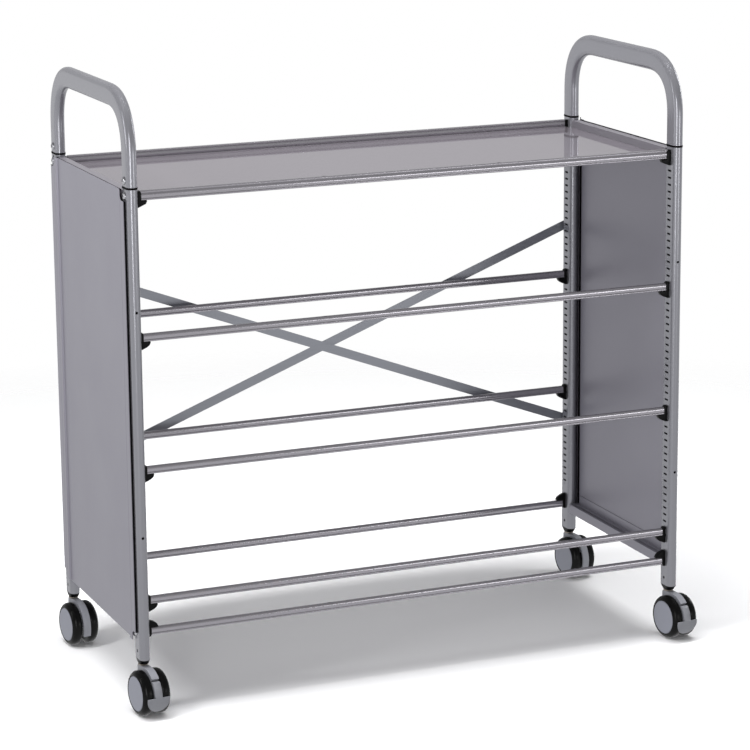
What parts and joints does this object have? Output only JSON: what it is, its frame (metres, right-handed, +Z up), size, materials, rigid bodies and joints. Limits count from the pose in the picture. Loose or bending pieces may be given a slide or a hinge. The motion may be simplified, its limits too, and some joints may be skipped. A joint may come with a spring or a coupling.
{
  "type": "book cart",
  "caption": "Wheeled storage cart: two oval-tube end frames with sheet panels and bar handles, a top tray, stepped shelf rails, cross bracing and twin-wheel castors.",
  "frame": {"origin": "on the floor, under the centre of the cart's outer box", "axes": "+X along the length to the right, +Y from the front to the back, +Z up"},
  "size_m": [1.0248, 0.4748, 1.0225],
  "materials": {
    "silver_tube": "satin silver powder coat on oval steel tube",
    "silver_sheet": "satin silver-grey powder coat on folded sheet steel",
    "silver_rail": "glossy silver coat on drawn steel rail",
    "tray_sheet": "high-gloss warm grey coat on sheet steel",
    "grey_plastic": "moulded mid-grey nylon",
    "black_plastic": "moulded black nylon",
    "black_tyre": "smooth black moulded tyre",
    "zinc_strip": "flat steel strip, silver coated"
  },
  "bodies": {
    "frame": {"post_front_left": "silver_tube", "post_rear_left": "silver_tube", "post_front_right": "silver_tube", "post_rear_right": "silver_tube", "handle_left": "silver_tube", "handle_right": "silver_tube", "post_cap_front_left": "black_plastic", "post_cap_rear_left": "black_plastic", "post_cap_front_right": "black_plastic", "post_cap_rear_right": "black_plastic", "rail_top_front": "silver_rail", "rail_top_rear": "silver_rail", "rail_upper_front": "silver_rail", "rail_upper_rear": "silver_rail", "rail_lower_front": "silver_rail", "rail_lower_rear": "silver_rail", "rail_base_front_high": "silver_rail", "rail_base_front_low": "silver_rail", "rail_base_rear": "silver_rail", "bracket_top_front_left": "black_plastic", "bracket_top_front_right": "black_plastic", "bracket_top_rear_left": "black_plastic", "bracket_top_rear_right": "black_plastic", "bracket_upper_front_left": "black_plastic", "bracket_upper_front_right": "black_plastic", "bracket_upper_rear_left": "black_plastic", "bracket_upper_rear_right": "black_plastic", "bracket_lower_front_left": "black_plastic", "bracket_lower_front_right": "black_plastic", "bracket_lower_rear_left": "black_plastic", "bracket_lower_rear_right": "black_plastic", "bracket_base_front_high_left": "black_plastic", "bracket_base_front_high_right": "black_plastic", "bracket_base_front_low_left": "black_plastic", "bracket_base_front_low_right": "black_plastic", "bracket_base_rear_left": "black_plastic", "bracket_base_rear_right": "black_plastic", "cross_rail_top_left": "silver_sheet", "cross_rail_top_right": "silver_sheet", "cross_rail_bottom_left": "silver_sheet", "cross_rail_bottom_right": "silver_sheet", "brace_falling": "zinc_strip", "brace_rising": "zinc_strip", "side_panel_left": "silver_sheet", "side_panel_right": "silver_sheet", "shelf_tray": "tray_sheet"},
    "castor_front_left": {"castor_housing_front_left": "grey_plastic"},
    "wheel_outer_front_left": {"wheel_outer_front_left": "black_tyre"},
    "wheel_inner_front_left": {"wheel_inner_front_left": "black_tyre"},
    "brake_pedal_left": {"brake_pedal_left": "grey_plastic"},
    "castor_front_right": {"castor_housing_front_right": "grey_plastic"},
    "wheel_outer_front_right": {"wheel_outer_front_right": "black_tyre"},
    "wheel_inner_front_right": {"wheel_inner_front_right": "black_tyre"},
    "brake_pedal_right": {"brake_pedal_right": "grey_plastic"},
    "castor_rear_left": {"castor_housing_rear_left": "grey_plastic"},
    "wheel_outer_rear_left": {"wheel_outer_rear_left": "black_tyre"},
    "wheel_inner_rear_left": {"wheel_inner_rear_left": "black_tyre"},
    "castor_rear_right": {"castor_housing_rear_right": "grey_plastic"},
    "wheel_outer_rear_right": {"wheel_outer_rear_right": "black_tyre"},
    "wheel_inner_rear_right": {"wheel_inner_rear_right": "black_tyre"}
  },
  "joints": [
    {"name": "swivel_front_left", "type": "hinge", "parent": "frame", "child": "castor_front_left", "pos_m": [-0.48714, -0.17419, 0.0865], "axis": [0, 0, 1], "continuous": true},
    {"name": "roll_outer_front_left", "type": "hinge", "parent": "castor_front_left", "child": "wheel_outer_front_left", "pos_m": [-0.49226, -0.19534, 0.0375], "axis": [0.9945, 0.1045, 0], "continuous": true},
    {"name": "roll_inner_front_left", "type": "hinge", "parent": "castor_front_left", "child": "wheel_inner_front_left", "pos_m": [-0.47774, -0.19381, 0.0375], "axis": [0.9945, 0.1045, 0], "continuous": true},
    {"name": "brake_left", "type": "hinge", "parent": "castor_front_left", "child": "brake_pedal_left", "pos_m": [-0.48211, -0.2221, 0.05547], "axis": [-0.9945, -0.1045, 0], "range_deg": [0, 16]},
    {"name": "swivel_front_right", "type": "hinge", "parent": "frame", "child": "castor_front_right", "pos_m": [0.48286, -0.17419, 0.0865], "axis": [0, 0, 1], "continuous": true},
    {"name": "roll_outer_front_right", "type": "hinge", "parent": "castor_front_right", "child": "wheel_outer_front_right", "pos_m": [0.49226, -0.19381, 0.0375], "axis": [0.9945, 0.1045, 0], "continuous": true},
    {"name": "roll_inner_front_right", "type": "hinge", "parent": "castor_front_right", "child": "wheel_inner_front_right", "pos_m": [0.47774, -0.19534, 0.0375], "axis": [0.9945, 0.1045, 0], "continuous": true},
    {"name": "brake_right", "type": "hinge", "parent": "castor_front_right", "child": "brake_pedal_right", "pos_m": [0.48789, -0.2221, 0.05547], "axis": [-0.9945, -0.1045, 0], "range_deg": [0, 16]},
    {"name": "swivel_rear_left", "type": "hinge", "parent": "frame", "child": "castor_rear_left", "pos_m": [-0.48714, 0.21581, 0.0865], "axis": [0, 0, 1], "continuous": true},
    {"name": "roll_outer_rear_left", "type": "hinge", "parent": "castor_rear_left", "child": "wheel_outer_rear_left", "pos_m": [-0.49226, 0.19466, 0.0375], "axis": [0.9945, 0.1045, 0], "continuous": true},
    {"name": "roll_inner_rear_left", "type": "hinge", "parent": "castor_rear_left", "child": "wheel_inner_rear_left", "pos_m": [-0.47774, 0.19619, 0.0375], "axis": [0.9945, 0.1045, 0], "continuous": true},
    {"name": "swivel_rear_right", "type": "hinge", "parent": "frame", "child": "castor_rear_right", "pos_m": [0.48286, 0.21581, 0.0865], "axis": [0, 0, 1], "continuous": true},
    {"name": "roll_outer_rear_right", "type": "hinge", "parent": "castor_rear_right", "child": "wheel_outer_rear_right", "pos_m": [0.49226, 0.19619, 0.0375], "axis": [0.9945, 0.1045, 0], "continuous": true},
    {"name": "roll_inner_rear_right", "type": "hinge", "parent": "castor_rear_right", "child": "wheel_inner_rear_right", "pos_m": [0.47774, 0.19466, 0.0375], "axis": [0.9945, 0.1045, 0], "continuous": true}
  ]
}
